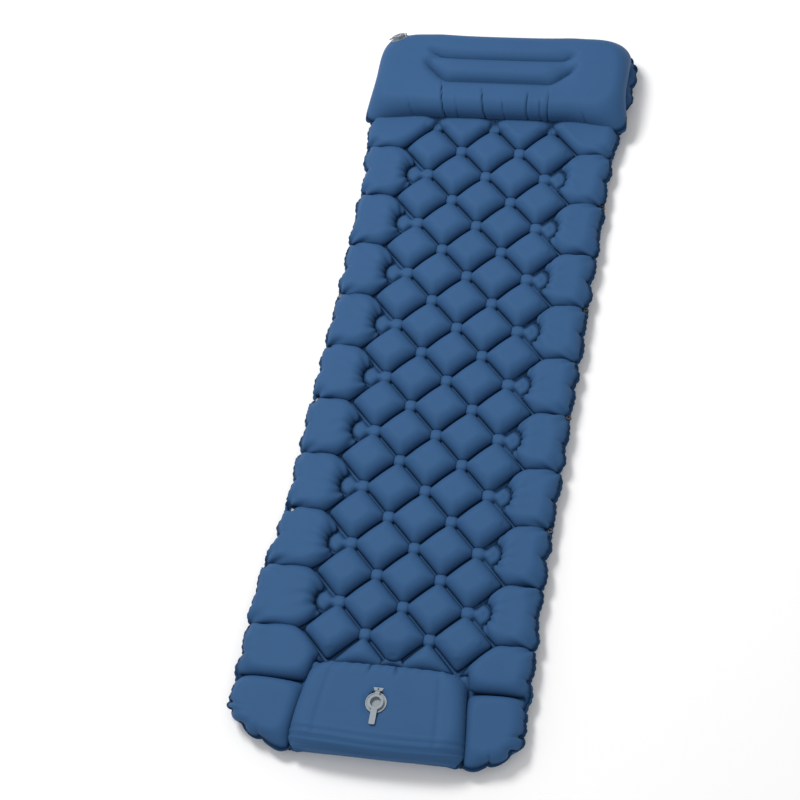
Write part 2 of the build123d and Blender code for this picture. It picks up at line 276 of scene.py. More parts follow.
def between(coarse, shape):
    """A coarse grid's points, and the points halfway between them."""
    whole = np.zeros(shape + (3,), coarse.dtype)
    whole[::2, ::2] = coarse
    whole[1::2, ::2] = (coarse[1:] + coarse[:-1]) / 2
    whole[:, 1::2] = (whole[:, 2::2] + whole[:, :-2:2]) / 2
    return whole


def blow_up(flat, held, most, least, steps, push=0.0002, low=None, high=None, seed=3, even=0.1, touch=None,
            halve=1):
    """Shape of a sheet of threads that air lifts off its welds.

    A thread grows by its share in most before it is taut, and by least it is gathered. The last axis
    of each is across the sheet, along it, and aslant. A grid with every other thread is blown first.
    """
    here = flat.astype(np.float32)
    free = (~held).astype(np.float32)[..., None]
    if halve:
        first = blow_up(*map(every_other, (flat, held, most, least)), steps, push * 2, every_other(low),
                        every_other(high), seed, even, touch, halve - 1)
        steps = int(steps * 0.4)
        here += (between(first.astype(np.float32), held.shape) - here) * free
    shake = np.random.default_rng(seed).normal(0, 0.0002, held.shape).astype(np.float32)
    here[..., 2] += shake * free[..., 0]
    before = here.copy()
    flat = flat.astype(np.float32)
    threads = []
    for di, dj, kind in ((1, 0, 0), (0, 1, 1), (1, 1, 2), (1, -1, 2)):
        a, b = ends(flat, di, dj)
        length = np.linalg.norm(b - a, axis=-1)
        longest = length * (1 + sum(ends(most[..., kind], di, dj)) / 2)
        shortest = length * (1 + sum(ends(least[..., kind], di, dj)) / 2)
        fa, fb = ends(free, di, dj)
        total = np.maximum(fa + fb, 1e-6)
        threads.append((di, dj, shortest.astype(np.float32), np.maximum(longest, shortest).astype(np.float32),
                        fa / total, fb / total))
    for _ in range(steps):
        speed = (here - before) * 0.9
        before = here.copy()
        across, down = np.empty_like(here), np.empty_like(here)
        across[1:-1] = here[2:] - here[:-2]
        across[0], across[-1] = here[1] - here[0], here[-1] - here[-2]
        down[:, 1:-1] = here[:, 2:] - here[:, :-2]
        down[:, 0], down[:, -1] = here[:, 1] - here[:, 0], here[:, -1] - here[:, -2]
        normal = np.cross(across, down)
        normal /= np.maximum(np.sqrt(np.einsum("ijk,ijk->ij", normal, normal)), 1e-12)[..., None]
        here += (speed + push * normal) * free
        for _ in range(3):
            shift = np.zeros_like(here)
            for di, dj, shortest, longest, wa, wb in threads:
                a, b = ends(here, di, dj)
                gap = b - a
                length = np.maximum(np.sqrt(np.einsum("ijk,ijk->ij", gap, gap)), 1e-7)
                fix = gap * ((length - np.clip(length, shortest, longest)) / length)[..., None]
                sa, sb = ends(shift, di, dj)
                sa += fix * wa
                sb -= fix * wb
            here += shift * 0.3 * free
        bend, sway = np.zeros_like(here), np.zeros_like(here)
        for of, to in ((here, bend), (bend, sway)):
            around = of[2:, 1:-1] + of[:-2, 1:-1] + of[1:-1, 2:] + of[1:-1, :-2]
            to[1:-1, 1:-1] = around / 4 - of[1:-1, 1:-1]
        here -= even * sway * free
        if low is not None:
            here[..., 2] = np.where(held, here[..., 2], np.maximum(here[..., 2], low))
        if high is not None:
            here[..., 2] = np.where(held, here[..., 2], np.minimum(here[..., 2], high))
        if touch is not None:
            here = touch(here, free)
    return here.astype(np.float64)


def thin_wall(name, points, gone, thickness=0.0, face_up=True, back=None):
    """A closed mesh: a face, the same face a wall's thickness behind it or a back of its own, and a rim."""
    nx, ny = points.shape[:2]
    number = np.arange(nx * ny).reshape(nx, ny)
    a, b, c, d = number[:-1, :-1], number[1:, :-1], number[1:, 1:], number[:-1, 1:]
    if gone is None:
        gone = np.zeros((nx, ny), bool)
    drop = gone[:-1, :-1] | gone[1:, :-1] | gone[1:, 1:] | gone[:-1, 1:]
    flat = points.reshape(-1, 3)
    first = np.linalg.norm(flat[a] - flat[c], axis=-1) <= np.linalg.norm(flat[b] - flat[d], axis=-1)
    one = np.where(first[..., None], np.stack([a, b, c], -1), np.stack([a, b, d], -1))[~drop]
    two = np.where(first[..., None], np.stack([a, c, d], -1), np.stack([b, c, d], -1))[~drop]
    faces = np.concatenate([one, two])
    if not face_up:
        faces = faces[:, ::-1]
    used, faces = np.unique(faces, return_inverse=True)
    faces = faces.reshape(-1, 3)
    outer = flat[used]
    cross = np.cross(outer[faces[:, 1]] - outer[faces[:, 0]], outer[faces[:, 2]] - outer[faces[:, 0]])
    normal = np.zeros_like(outer)
    for k in range(3):
        np.add.at(normal, faces[:, k], cross)
    normal /= np.maximum(np.linalg.norm(normal, axis=1, keepdims=True), 1e-15)
    inner = outer - normal * thickness if back is None else back.reshape(-1, 3)[used]
    edges = np.concatenate([faces[:, [0, 1]], faces[:, [1, 2]], faces[:, [2, 0]]])
    key = edges.min(axis=1) * len(outer) + edges.max(axis=1)
    _, where, count = np.unique(key, return_index=True, return_counts=True)
    rim = edges[where[count == 1]]
    n = len(outer)
    walls = np.concatenate([
        np.stack([rim[:, 1], rim[:, 0], rim[:, 0] + n], 1),
        np.stack([rim[:, 1], rim[:, 0] + n, rim[:, 1] + n], 1),
    ])
    every = np.concatenate([faces, faces[:, ::-1] + n, walls])
    mesh = bpy.data.meshes.new(name)
    mesh.from_pydata(np.concatenate([outer, inner]).tolist(), [], every.tolist())
    mesh.polygons.foreach_set("use_smooth", [True] * len(mesh.polygons))
    mesh.update()
    piece = bpy.data.objects.new(name, mesh)
    scene.collection.objects.link(piece)
    return piece, used


def add_trait(piece, name, values):
    """A number for each point of a piece, the same on both faces of its wall, for its material."""
    trait = piece.data.attributes.new(name, "FLOAT", "POINT")
    both = np.concatenate([values, values]) if 2 * len(values) == len(piece.data.vertices) else values
    trait.data.foreach_set("value", both.astype(np.float32))


class Value:
    """A socket that adds up like a number."""

    def __init__(self, finish, socket):
        self.finish, self.socket = finish, socket

    def _sum(self, operation, a, b):
        return self.finish.node("ShaderNodeMath", {"operation": operation}, {0: a, 1: b})

    def __add__(self, other):
        return self._sum("ADD", self, other)

    def __radd__(self, other):
        return self._sum("ADD", other, self)

    def __sub__(self, other):
        return self._sum("SUBTRACT", self, other)

    def __rsub__(self, other):
        return self._sum("SUBTRACT", other, self)

    def __mul__(self, other):
        return self._sum("MULTIPLY", self, other)

    def __rmul__(self, other):
        return self._sum("MULTIPLY", other, self)

    def __pow__(self, other):
        return self._sum("POWER", self, other)


class Finish:
    """A material on the standard shader, with its nodes."""

    def __init__(self, name, **even):
        self.material = bpy.data.materials.new(name)
        self.material.use_nodes = True
        self.tree = self.material.node_tree
        self.shader = self.tree.nodes["Principled BSDF"]
        for socket, value in even.items():
            self.shader.inputs[socket.replace("_", " ")].default_value = value

    def node(self, kind, settings=None, sockets=None, out=0):
        made = self.tree.nodes.new(kind)
        for setting, value in (settings or {}).items():
            if setting == "stops":
                ramp = made.color_ramp.elements
                while len(ramp) < len(value):
                    ramp.new(0.5)
                for stop, (at, colour) in zip(ramp, value):
                    stop.position, stop.color = at, colour
            else:
                setattr(made, setting, value)
        for socket, value in (sockets or {}).items():
            self.feed(made.inputs[socket], value)
        return Value(self, made.outputs[out])

    def feed(self, target, value):
        if isinstance(value, Value):
            self.tree.links.new(value.socket, target)
        else:
            target.default_value = value

    def show(self, **sockets):
        for socket, value in sockets.items():
            self.feed(self.shader.inputs[socket.replace("_", " ")], value)


def blend_colours(finish, share, a, b):
    return finish.node("ShaderNodeMix", {"data_type": "RGBA"}, {"Factor": share, 6: a, 7: b}, out=2)


def coated_nylon(name):
    """Navy nylon: a plain weave with a soft sheen, with painted shade where the crease trait is high, at the
    welds and the feet of slopes, where it is also duller.
    """
    cloth = Finish(name, Sheen_Weight=0.02, Sheen_Roughness=0.4, Sheen_Tint=(0.35, 0.55, 0.95, 1.0),
                   Specular_IOR_Level=0.10, Specular_Tint=(0.5, 0.75, 1.0, 1.0))
    place = cloth.node("ShaderNodeTexCoord", out="Object")
    crease = cloth.node("ShaderNodeAttribute", {"attribute_name": "crease"}, out="Fac")
    cloud = cloth.node("ShaderNodeTexNoise", None,
                       {"Vector": place, "Scale": 9.0, "Detail": 3.0}, out="Fac")
    speck = cloth.node("ShaderNodeTexNoise", None,
                       {"Vector": place, "Scale": 420.0, "Detail": 2.0}, out="Fac")
    warp = cloth.node("ShaderNodeTexWave", {"wave_type": "BANDS", "bands_direction": "X"},
                      {"Vector": place, "Scale": 380.0, "Distortion": 0.6, "Detail": 0.0}, out="Fac")
    weft = cloth.node("ShaderNodeTexWave", {"wave_type": "BANDS", "bands_direction": "Y"},
                      {"Vector": place, "Scale": 380.0, "Distortion": 0.6, "Detail": 0.0}, out="Fac")
    shade = cloud * 0.5 + speck * 0.2 + (warp + weft) * 0.15
    nylon = blend_colours(cloth, shade, (0.0275, 0.078, 0.178, 1.0), (0.042, 0.108, 0.236, 1.0))
    # Painted shade: the colour is drawn towards near-black navy by the crease trait, standing in for the dark
    # valleys at the welds
    painted_shade = blend_colours(cloth, crease * 0.92, nylon, (0.0006, 0.0110, 0.038, 1.0))
    wrinkle = cloth.node("ShaderNodeTexNoise", None,
                         {"Vector": place, "Scale": 55.0, "Detail": 4.0, "Roughness": 0.55}, out="Fac")
    weave = cloth.node("ShaderNodeBump", None, {"Height": warp * weft, "Strength": 0.10, "Distance": 0.0002})
    folds = cloth.node("ShaderNodeBump", None,
                       {"Height": wrinkle * (0.25 + crease), "Strength": 0.35, "Distance": 0.0016,
                        "Normal": weave})
    cloth.show(Base_Color=painted_shade, Roughness=0.50 + cloud * 0.14 + crease * 0.34, Normal=folds)
    return cloth.material


nylon = coated_nylon("coated_nylon")

# How far each thread grows before it is taut: across the mattress, along it, and aslant
in_squares = smooth(-grid_ax, -1.55 * cell, -1.45 * cell)[..., None]
most = in_squares * np.array([0.115, 0.115, 0.215]) + (1 - in_squares) * np.array([0.23, 0.125, 0.17])
foot_cells = (smooth(-grid_y, 0.735, 0.775) * (grid_ax > pump_half_width))[..., None]
most = most * (1 - foot_cells) + foot_cells * np.array([0.13, 0.10, 0.11])
near_knot = (np.exp(-(knot_r / 0.016) ** 4) * open_knot)[..., None]
in_ear = (ear_row & (ear_d < ear_r + step) & (grid_ax > 1.02 * cell))[..., None]
most = most * (1 - near_knot) + 0.10 * near_knot
most = np.where(in_ear, 0.10, most)
edge_gap = np.minimum(half_width - grid_ax, np.where(grid_y > 0, head_y - grid_y, grid_y - foot_y))
by_edge = np.exp(-(edge_gap / 0.020) ** 2)
least = np.zeros(most.shape)
least[..., 1] = 0.10 * by_edge * (grid_ax > 1.4 * cell)
least[..., 0] = 0.10 * by_edge * (grid_ax > 1.25 * cell) * smooth(-grid_y, 0.88, 0.92)
most = np.maximum(most, least)

upper_flat = np.stack([flat_x, flat_y, np.full(grid_x.shape, weld_z + sheet_thick)], -1)
upper_flat[..., 2] = np.where(port, port_cover_z, upper_flat[..., 2])
ceiling = np.full(grid_x.shape, crown_top)
ceiling[(grid_y > 0.708) & (grid_ax < 0.292)] = under_pillow_top
ceiling = np.where(in_ear[..., 0], weld_z + ear_rise, ceiling)
ceiling = np.where(near_knot[..., 0] > 0.5, weld_z + knot_rise, ceiling)
ceiling = np.minimum(ceiling, port_top + 0.7 * np.maximum(from_port - 0.020, 0))
upper_points = blow_up(upper_flat, welded | port, most, least, blow_steps, high=ceiling)

lower_flat = np.stack([flat_x, flat_y, np.full(grid_x.shape, sheet_thick)], -1)
lower_flat[..., 2] = np.where(port, weld_z - 0.009, lower_flat[..., 2])
lower_points = between(blow_up(*map(every_other, (lower_flat, welded | port, most, least)), blow_steps,
                               push=0.0004, high=weld_z, seed=5, halve=0), grid_x.shape)
lower_points = np.where((welded | port)[..., None], lower_flat, lower_points)
lower_points[..., 2] = weld_z - lower_points[..., 2]


def surface_normals(points):
    """Directions of length 1 that stand off a grid of points."""
    normal = np.cross(np.gradient(points, axis=0), np.gradient(points, axis=1))
    return normal / np.maximum(np.linalg.norm(normal, axis=-1, keepdims=True), 1e-12)


def luck(number, seed):
    """A fixed random value from 0 to 1 for each whole number."""
    return np.random.default_rng(seed).uniform(0, 1, 64)[np.round(number).astype(int) + 32]


# Fans of small pleats outside the arcs, where the side cells are drawn in
ear_number = np.round(v) + np.where(grid_x < 0, 13, 0)
fan = ear_row * smooth(ear_d, ear_r + 0.001, ear_r + 0.007) * smooth(-ear_d, -0.078, -0.034)
fan = fan * smooth(-np.abs(np.arctan2(ear_y, ear_x)), -1.45, -1.1)
fan_turn = np.arctan2(ear_y, ear_x) * (13 + 4 * luck(ear_number, 1)) + 6 * luck(ear_number, 2)
fan_turn = fan_turn + 1.2 * np.sin(ear_d * 90 + 6 * luck(ear_number, 3))
pleats = 0.0020 * fan * np.cos(fan_turn)

# Pleats that run in from the outline at the ends of the slits
end_x = half_width - 0.002 - grid_ax
end_number = np.round(v - 0.5) + np.where(grid_x < 0, 12, 0)
end_y = half_row * np.sign(v - 0.5 - np.round(v - 0.5))
end_d = np.hypot(end_x, end_y)
end_turn = np.arctan2(end_y, end_x + 1e-9)
spray = (v > -9.8) * smooth(end_d, 0.006, 0.014) * smooth(-end_d, -0.058, -0.022)
spray = spray * smooth(np.abs(end_turn), 0.12, 0.3) * (grid_ax > 1.5 * cell)
pleats = pleats + 0.0030 * spray * np.cos(end_turn * (8 + 4 * luck(end_number, 4)) + 6 * luck(end_number, 5))

# Short pleats inward from every notch of the outline
notch_y = (grid_y - row_1 - np.round((grid_y - row_1) / (cell / 2)) * (cell / 2))
notch = np.exp(-(notch_y / 0.0035) ** 2) * smooth(-(half_width - grid_ax), -0.030, -0.006)
notch = notch * (grid_y > foot_y + corner_r * 0.9)
corner_x = grid_ax - (half_width - corner_r)
corner_y = foot_y + corner_r - grid_y
corner_turn = np.arctan2(np.maximum(corner_y, 0), np.maximum(corner_x, 1e-6))
corner_r_here = np.maximum(corner_x, corner_y)
count = np.where(grid_x < 0, 6, 4) / np.pi
from_notch = np.abs(corner_turn * count - np.round(corner_turn * count)) / count
from_notch = from_notch * np.maximum(corner_r_here, 0.01)
corner_notch = np.exp(-(from_notch / 0.0045) ** 2) * smooth(corner_r_here, 0.016, 0.050)
corner_notch = corner_notch * ((corner_x > 0) & (corner_y > 0))
rim_wave = np.cos(grid_y * 610 + 3 * np.sin(grid_y * 47))
rim_pleat = rim_wave * smooth(-edge_gap, -0.016, -0.003) * (grid_ax > 1.6 * cell)
pleats = pleats - 0.0034 * notch - 0.0060 * corner_notch + 0.0011 * rim_pleat

# The corners of the squares are drawn tight, so that a soft ridge runs from each towards its knot
half_cell = cell / 2
from_line_x = np.abs(grid_x - np.round(grid_x / half_cell) * half_cell)
from_line_y = np.abs(grid_y - row_1 - np.round((grid_y - row_1) / half_cell) * half_cell)
ridge = np.exp(-(from_line_x / 0.0055) ** 2) + np.exp(-(from_line_y / 0.0055) ** 2)
ridge = ridge * smooth(knot_r, 0.017, 0.024) * smooth(-knot_r, -0.060, -0.030) * open_knot
pleats = pleats + 0.0022 * ridge
loose = (~(welded | port))[..., None]
upper_points += surface_normals(upper_points) * pleats[..., None] * loose


weld_shade = 0.22
shadow_reach = 0.012
shadow_fade = 0.0056


def weld_shadow(held):
    """How much painted shade a sheet gets: most at the foot of a slope, less on the weld itself, none on the
    crowns.
    """
    shade = np.where(held, weld_shade, 0.0)
    reached = held.copy()
    for painted_shade in np.exp(-(np.arange(0, shadow_reach, step) / shadow_fade) ** 2):
        grown = reached.copy()
        grown[1:] |= reached[:-1]
        grown[:-1] |= reached[1:]
        grown[:, 1:] |= reached[:, :-1]
        grown[:, :-1] |= reached[:, 1:]
        shade = np.where(grown & ~reached, painted_shade, shade)
        reached = grown
    return shade


air_body, kept = thin_wall("air_body", upper_points, pump_hole, back=lower_points)
# Painted shade of the body, kept at half strength round the small pockets beside the outer knots
shadow = weld_shadow(welded) * np.where(in_ear[..., 0] | ear_arc, 0.5, 1.0)
add_trait(air_body, "crease", np.tile(shadow.reshape(-1)[kept], 2))
air_body.data.materials.append(nylon)
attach(air_body, "mattress")
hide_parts("top_sheet", "bottom_sheet")

# ---- Welded edge --------------------------------------------------------------------------------
# The margin outside the air is both sheets fused into one thin ruffled band, cut to the lobes of the
# outline. Its strip is swept along the outline, half of it inside the last weld.

outline_path = np.concatenate([
    np.stack([flat_x[:-1, 0], flat_y[:-1, 0]], 1), np.stack([flat_x[-1, :-1], flat_y[-1, :-1]], 1),
    np.stack([flat_x[:0:-1, -1], flat_y[:0:-1, -1]], 1), np.stack([flat_x[0, :0:-1], flat_y[0, :0:-1]], 1),
])


class Growth:
    """A tree of Geometry Nodes with named inputs, run once on a piece and then made plain."""

    def __init__(self, name, **inputs):
        self.tree = bpy.data.node_groups.new(name, "GeometryNodeTree")
        self.tree.interface.new_socket("Geometry", in_out="INPUT", socket_type="NodeSocketGeometry")
        self.tree.interface.new_socket("Geometry", in_out="OUTPUT", socket_type="NodeSocketGeometry")
        self.given = {}
        for label, value in inputs.items():
            socket = self.tree.interface.new_socket(label, in_out="INPUT", socket_type="NodeSocketFloat")
            self.given[socket.identifier] = value
        self.start = self.tree.nodes.new("NodeGroupInput")

    def node(self, kind, settings=None, sockets=None, out=0):
        made = self.tree.nodes.new(kind)
        for setting, value in (settings or {}).items():
            setattr(made, setting, value)
        for socket, value in (sockets or {}).items():
            if isinstance(value, bpy.types.NodeSocket):
                self.tree.links.new(value, made.inputs[socket])
            else:
                made.inputs[socket].default_value = value
        return made.outputs[out]

    def grow(self, piece, shape, finish):
        """Finish the tree with shape, run it on the piece and leave a plain mesh there."""
        whole = self.node("GeometryNodeRealizeInstances", None, {0: shape})
        coated = self.node("GeometryNodeSetMaterial", None, {"Geometry": whole, "Material": finish})
        self.tree.links.new(coated, self.tree.nodes.new("NodeGroupOutput").inputs[0])
        modifier = piece.modifiers.new("growth", "NODES")
        modifier.node_group = self.tree
        for identifier, value in self.given.items():
            modifier[identifier] = value
        seen = piece.evaluated_get(bpy.context.evaluated_depsgraph_get())
        plain = bpy.data.meshes.new_from_object(seen)
        piece.modifiers.remove(modifier)
        piece.data = plain


edge_mesh = bpy.data.meshes.new("edge_margin")
edge_mesh.from_pydata([(x, y, weld_z) for x, y in outline_path.tolist()],
                      [(k, (k + 1) % len(outline_path)) for k in range(len(outline_path))], [])
edge_margin = bpy.data.objects.new("edge_margin", edge_mesh)
scene.collection.objects.link(edge_margin)

edge = Growth("welded_edge", Width=0.0074, Thickness=0.0009, Ruffle=0.0030, Pitch=95.0)
given = edge.start.outputs
path = edge.node("GeometryNodeMeshToCurve", None, {"Mesh": given["Geometry"]})
path = edge.node("GeometryNodeSetCurveNormal", {"mode": "Z_UP"}, {"Curve": path})
strip_profile = edge.node("GeometryNodeCurvePrimitiveQuadrilateral", None,
                          {"Width": given["Width"], "Height": given["Thickness"]})
band_mesh = edge.node("GeometryNodeCurveToMesh", None, {"Curve": path, "Profile Curve": strip_profile})
waver = edge.node("ShaderNodeTexNoise", None, {"Scale": given["Pitch"], "Detail": 1.0})
centred = edge.node("ShaderNodeMath", {"operation": "SUBTRACT"}, {0: waver, 1: 0.5})
height = edge.node("ShaderNodeMath", {"operation": "MULTIPLY"}, {0: centred, 1: given["Ruffle"]})
offset = edge.node("ShaderNodeCombineXYZ", None, {"Z": height})
ruffled = edge.node("GeometryNodeSetPosition", None, {"Geometry": band_mesh, "Offset": offset})
edge.grow(edge_margin, ruffled, nylon)

faces_out = bmesh.new()
faces_out.from_mesh(edge_margin.data)
bmesh.ops.recalc_face_normals(faces_out, faces=faces_out.faces)
faces_out.to_mesh(edge_margin.data)
faces_out.free()
# The whole margin takes a fixed 0.45 of the nylon's darker crease colour
add_trait(edge_margin, "crease", np.full(len(edge_margin.data.vertices), 0.45))
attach(edge_margin, "mattress")
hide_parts("edge_seam")

# ---- Pillow -------------------------------------------------------------------------------------
# A third sheet welded on top of the head end over the full width. Air lifts it higher than the body,
# two long welds hold its top down, and it gathers below them and hangs over the first row of cells.

pillow_step = 0.0032
pillow_x, pillow_front, pillow_back = 0.303, 0.704, 0.926
pillow_base_z = 0.046
pillow_corner = 0.050
pillow_crown = 0.1040
pillow_lowest = 0.036
across_n = 2 * round(pillow_x / pillow_step)
along_n = 2 * round((pillow_back - pillow_front) / pillow_step / 2)
cx, cy = np.meshgrid(np.linspace(-pillow_x, pillow_x, across_n + 1),
                     np.linspace(pillow_front, pillow_back, along_n + 1), indexing="ij")
mid_y = (pillow_front + pillow_back) / 2
half_y = (pillow_back - pillow_front) / 2
tx = np.clip((np.abs(cx) - (pillow_x - pillow_corner)) / pillow_corner, 0, 1)
off_mid = np.abs(cy - mid_y)
ty = np.clip((off_mid - (half_y - pillow_corner)) / pillow_corner, 0, 1)
soft = np.where(cy > mid_y, 1.0, 0.55)      # the front corners are squarer than the back ones
px = np.minimum(np.abs(cx), pillow_x - pillow_corner)
px = px + pillow_corner * tx * np.sqrt(1 - soft * ty * ty / 2)
py = np.minimum(off_mid, half_y - pillow_corner)
py = py + pillow_corner * ty * np.sqrt(1 - soft * tx * tx / 2)
spread = smooth(-cy, -0.800, -0.704) * smooth(np.abs(cx), 0.16, pillow_x)
px = px + np.where(cx < 0, 0.026, 0.019) * spread
pillow_flat = np.stack([np.sign(cx) * px, mid_y + np.sign(cy - mid_y) * py,
                        np.full(cx.shape, pillow_base_z)], -1)
pillow_flat[..., 1] -= 0.021 * spread
pillow_flat[..., 2] -= 0.010 * spread
pillow_rim = np.zeros(cx.shape, bool)
pillow_rim[[0, -1], :] = True
pillow_rim[:, [0, -1]] = True

upper_weld = 0.846 + 0.012 * smooth(np.abs(cx), 0.135, 0.195)
lower_weld = 0.788 + 0.040 * smooth(np.abs(cx), 0.118, 0.190)
upper_hold = smooth(-np.abs(cx), -0.186, -0.150) * np.exp(-((cy - upper_weld) / 0.0042) ** 2)
lower_hold = smooth(-np.abs(cx), -0.190, -0.158) * np.exp(-((cy - lower_weld) / 0.0042) ** 2)
hold = pillow_crown - 0.016 * upper_hold - 0.022 * lower_hold

valve_at = np.array([-0.269, 0.911, 0.087])
valve_up = np.array([-0.30, 0.55, 0.78])
valve_up = valve_up / np.linalg.norm(valve_up)
valve_seat_r = 0.0235
seat_gap = 0.0002


def seat_valve(here, free):
    """Keep the sheet on the face of the head valve's flange, which is welded to it."""
    off = here - valve_at
    high = off @ valve_up
    round_it = np.linalg.norm(off - high[..., None] * valve_up, axis=-1)
    seat = (round_it < valve_seat_r) & (np.abs(high) < 0.03)
    near = smooth(-round_it, -0.040, -valve_seat_r)
    over = np.maximum(high - seat_gap - (round_it - valve_seat_r) * 0.15, 0)
    fix = np.where(seat, high - seat_gap, over * near)
    return (here - (fix[..., None] * valve_up) * free).astype(np.float32)


past_welds = smooth(np.abs(cx), 0.15, 0.20)
front_part, back_part = smooth(-cy, -0.792, -0.778), smooth(cy, 0.846, 0.860)
grow_along = (0.04 + 0.36 * front_part + 0.30 * back_part) * (1 - past_welds) + 0.175 * past_welds
grow_across = 0.015 + 0.13 * smooth(np.abs(cx), 0.17, 0.24)
pillow_most = np.stack([grow_across, grow_along, (grow_along + grow_across) / 2 + 0.03], -1)
front_gather = smooth(-cy, -0.790, -0.725) * smooth(-np.abs(cx), -0.27, -0.18)
pillow_least = np.zeros(cx.shape + (3,))
pillow_least[..., 0] = 0.05 * front_gather
pillow_points = blow_up(pillow_flat, pillow_rim, pillow_most, pillow_least, 520,
                        push=0.00012, high=hold, low=np.full(cx.shape, pillow_lowest), seed=8, even=0.12,
                        touch=seat_valve)

# Gathers that run from the lower weld down to the front edge
pillow_gathers = [(-0.135, -0.118, 0.783, 0.704, 0.0034), (-0.092, -0.088, 0.752, 0.704, 0.0022),
                  (-0.033, -0.020, 0.772, 0.704, 0.0034), (0.020, 0.028, 0.750, 0.704, 0.0022),
                  (0.078, 0.082, 0.768, 0.712, 0.0030), (0.112, 0.114, 0.752, 0.704, 0.0026),
                  (0.129, 0.131, 0.771, 0.712, 0.0030), (0.205, 0.222, 0.738, 0.704, 0.0022),
                  (-0.205, -0.192, 0.748, 0.704, 0.0020)]
dent = np.zeros(cx.shape)
for x0, x1, y0, y1, deep in pillow_gathers:
    t = (y0 - cy) / (y0 - y1)
    centre = x0 + (x1 - x0) * t
    wide = 0.0024 + 0.0010 * np.clip(t, 0, 1)
    furrow = np.exp(-((cx - centre) / wide) ** 2)
    shoulders = 0.35 * np.exp(-((cx - centre) / (2.6 * wide)) ** 2)
    dent += deep * smooth(t, -0.05, 0.25) * (furrow - shoulders)
pillow_points -= surface_normals(pillow_points) * (dent * (~pillow_rim))[..., None]
off = pillow_points - valve_at
above_seat = off @ valve_up
from_axis = np.linalg.norm(off - above_seat[..., None] * valve_up, axis=-1)
valve_hole = (np.abs(above_seat) < 0.01) & (from_axis < valve_hole_r)
pillow, kept = thin_wall("pillow", pillow_points, valve_hole, sheet_thick)
# Painted shade on the pillow: in the furrows of its gathers, along its two welds, and low down at its foot
# where it meets the body
weld_line_shade = (upper_hold + lower_hold) ** 3 * 0.8
shade_at_foot = np.exp(-((pillow_points[..., 2] - pillow_base_z) / 0.006) ** 2)
pillow_shade = smooth(dent, 0.0006, 0.0024) + weld_line_shade + shade_at_foot
add_trait(pillow, "crease", np.clip(pillow_shade, 0, 1).reshape(-1)[kept])
pillow.data.materials.append(nylon)
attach(pillow, "mattress")
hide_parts("pillow_cover")

# ---- Foot pump ----------------------------------------------------------------------------------
# A bladder of the same nylon, welded round its foot and full of open foam. Pressing its top with a
# foot drives the air through a flap into the body, and the foam lifts it again.

pump_step = 0.0038
pump_rim_x, pump_rim_back, pump_rim_front = 0.1705, -0.7445, -0.9385
pump_top_z = 0.077
pump_seat_r = 0.0255     # the sheet lies flat under the flange of the inlet
foam_top_z = 0.0735
pump_highest = 0.0785
ax_n = 2 * round(pump_rim_x / pump_step)
ay_n = 2 * round((pump_rim_back - pump_rim_front) / pump_step / 2)
bx, by = np.meshgrid(np.linspace(-pump_rim_x, pump_rim_x, ax_n + 1),
                     np.linspace(pump_rim_front, pump_rim_back, ay_n + 1), indexing="ij")
pump_rim = np.zeros(bx.shape, bool)
pump_rim[[0, -1], :] = True
pump_rim[:, [0, -1]] = True
rim_x = bx * (1 + 0.097 * smooth(-by, 0.76, 0.935))
rear_corner = smooth(np.abs(bx), 0.125, 0.1705) * smooth(by, -0.790, -0.7445)
pump_flat = np.stack([rim_x + np.sign(bx) * 0.008 * rear_corner, by + 0.009 * rear_corner,
                      weld_z + sheet_thick + 0.006 * rear_corner], -1)
valve_x, valve_y = -0.007, -0.833
from_valve = np.hypot(bx - valve_x, by - valve_y)
flange_seat = from_valve < pump_seat_r
foam = np.minimum(smooth(-np.abs(bx), -0.172, -0.108), smooth(by, -0.934, -0.893))
foam = np.minimum(foam, smooth(-by, 0.746, 0.770))
foam_top = weld_z + (foam_top_z - weld_z) * foam
pump_high = np.full(bx.shape, pump_highest)
pump_high = np.where(flange_seat, pump_top_z - sheet_thick / 2, pump_high)
pump_low = np.where(flange_seat, pump_top_z - sheet_thick, foam_top)
pump_low = np.where(pump_rim, 0, pump_low)
pump_most = np.full(bx.shape + (3,), 0.16)
pump_most[..., 0] += 0.3 * smooth(np.abs(bx), 0.115, 0.135)
pump_most[..., 1] += 0.3 * (1 - smooth(by, -0.925, -0.900) * smooth(-by, 0.758, 0.775))
pump_most[..., 2] += 0.15 * (1 - foam)
back_gather = smooth(by, -0.785, -0.750)
front_gather = smooth(-by, 0.885, 0.915)
pump_least = np.stack([0.12 * back_gather + 0.03 * front_gather, 0.14 * front_gather,
                       np.zeros(bx.shape)], -1)
pump_points = blow_up(pump_flat, pump_rim, pump_most, pump_least, 320, push=0.00012,
                      low=pump_low, high=pump_high, seed=4, even=0.12)
ripple = 0.0027 * np.sin((by + 0.9) * 2 * np.pi / 0.0125 + 0.9 * np.sin(bx * 14)) * smooth(-by, 0.876, 0.895)
port_fold = np.zeros(bx.shape)
for side in (-1, 1):
    fold_x = valve_x + side * 0.024 + (by + 0.745) * side * -0.12
    port_fold += np.exp(-((bx - fold_x) / 0.0030) ** 2)
back_pleats = 0.0020 * np.cos(bx * 290 + 1.5 * np.sin(bx * 37)) * smooth(by, -0.788, -0.752)
fold_dent = 0.0045 * port_fold * smooth(by, -0.795, -0.772)
frame_line = 0.0020 * (np.exp(-((np.abs(bx) - 0.108) / 0.004) ** 2) * smooth(by, -0.912, -0.895))
pump_points[..., 2] += (ripple + back_pleats - fold_dent - frame_line) * (~pump_rim) * (~flange_seat)
pump_upper, kept = thin_wall("pump_upper", pump_points, from_valve < valve_hole_r, sheet_thick)
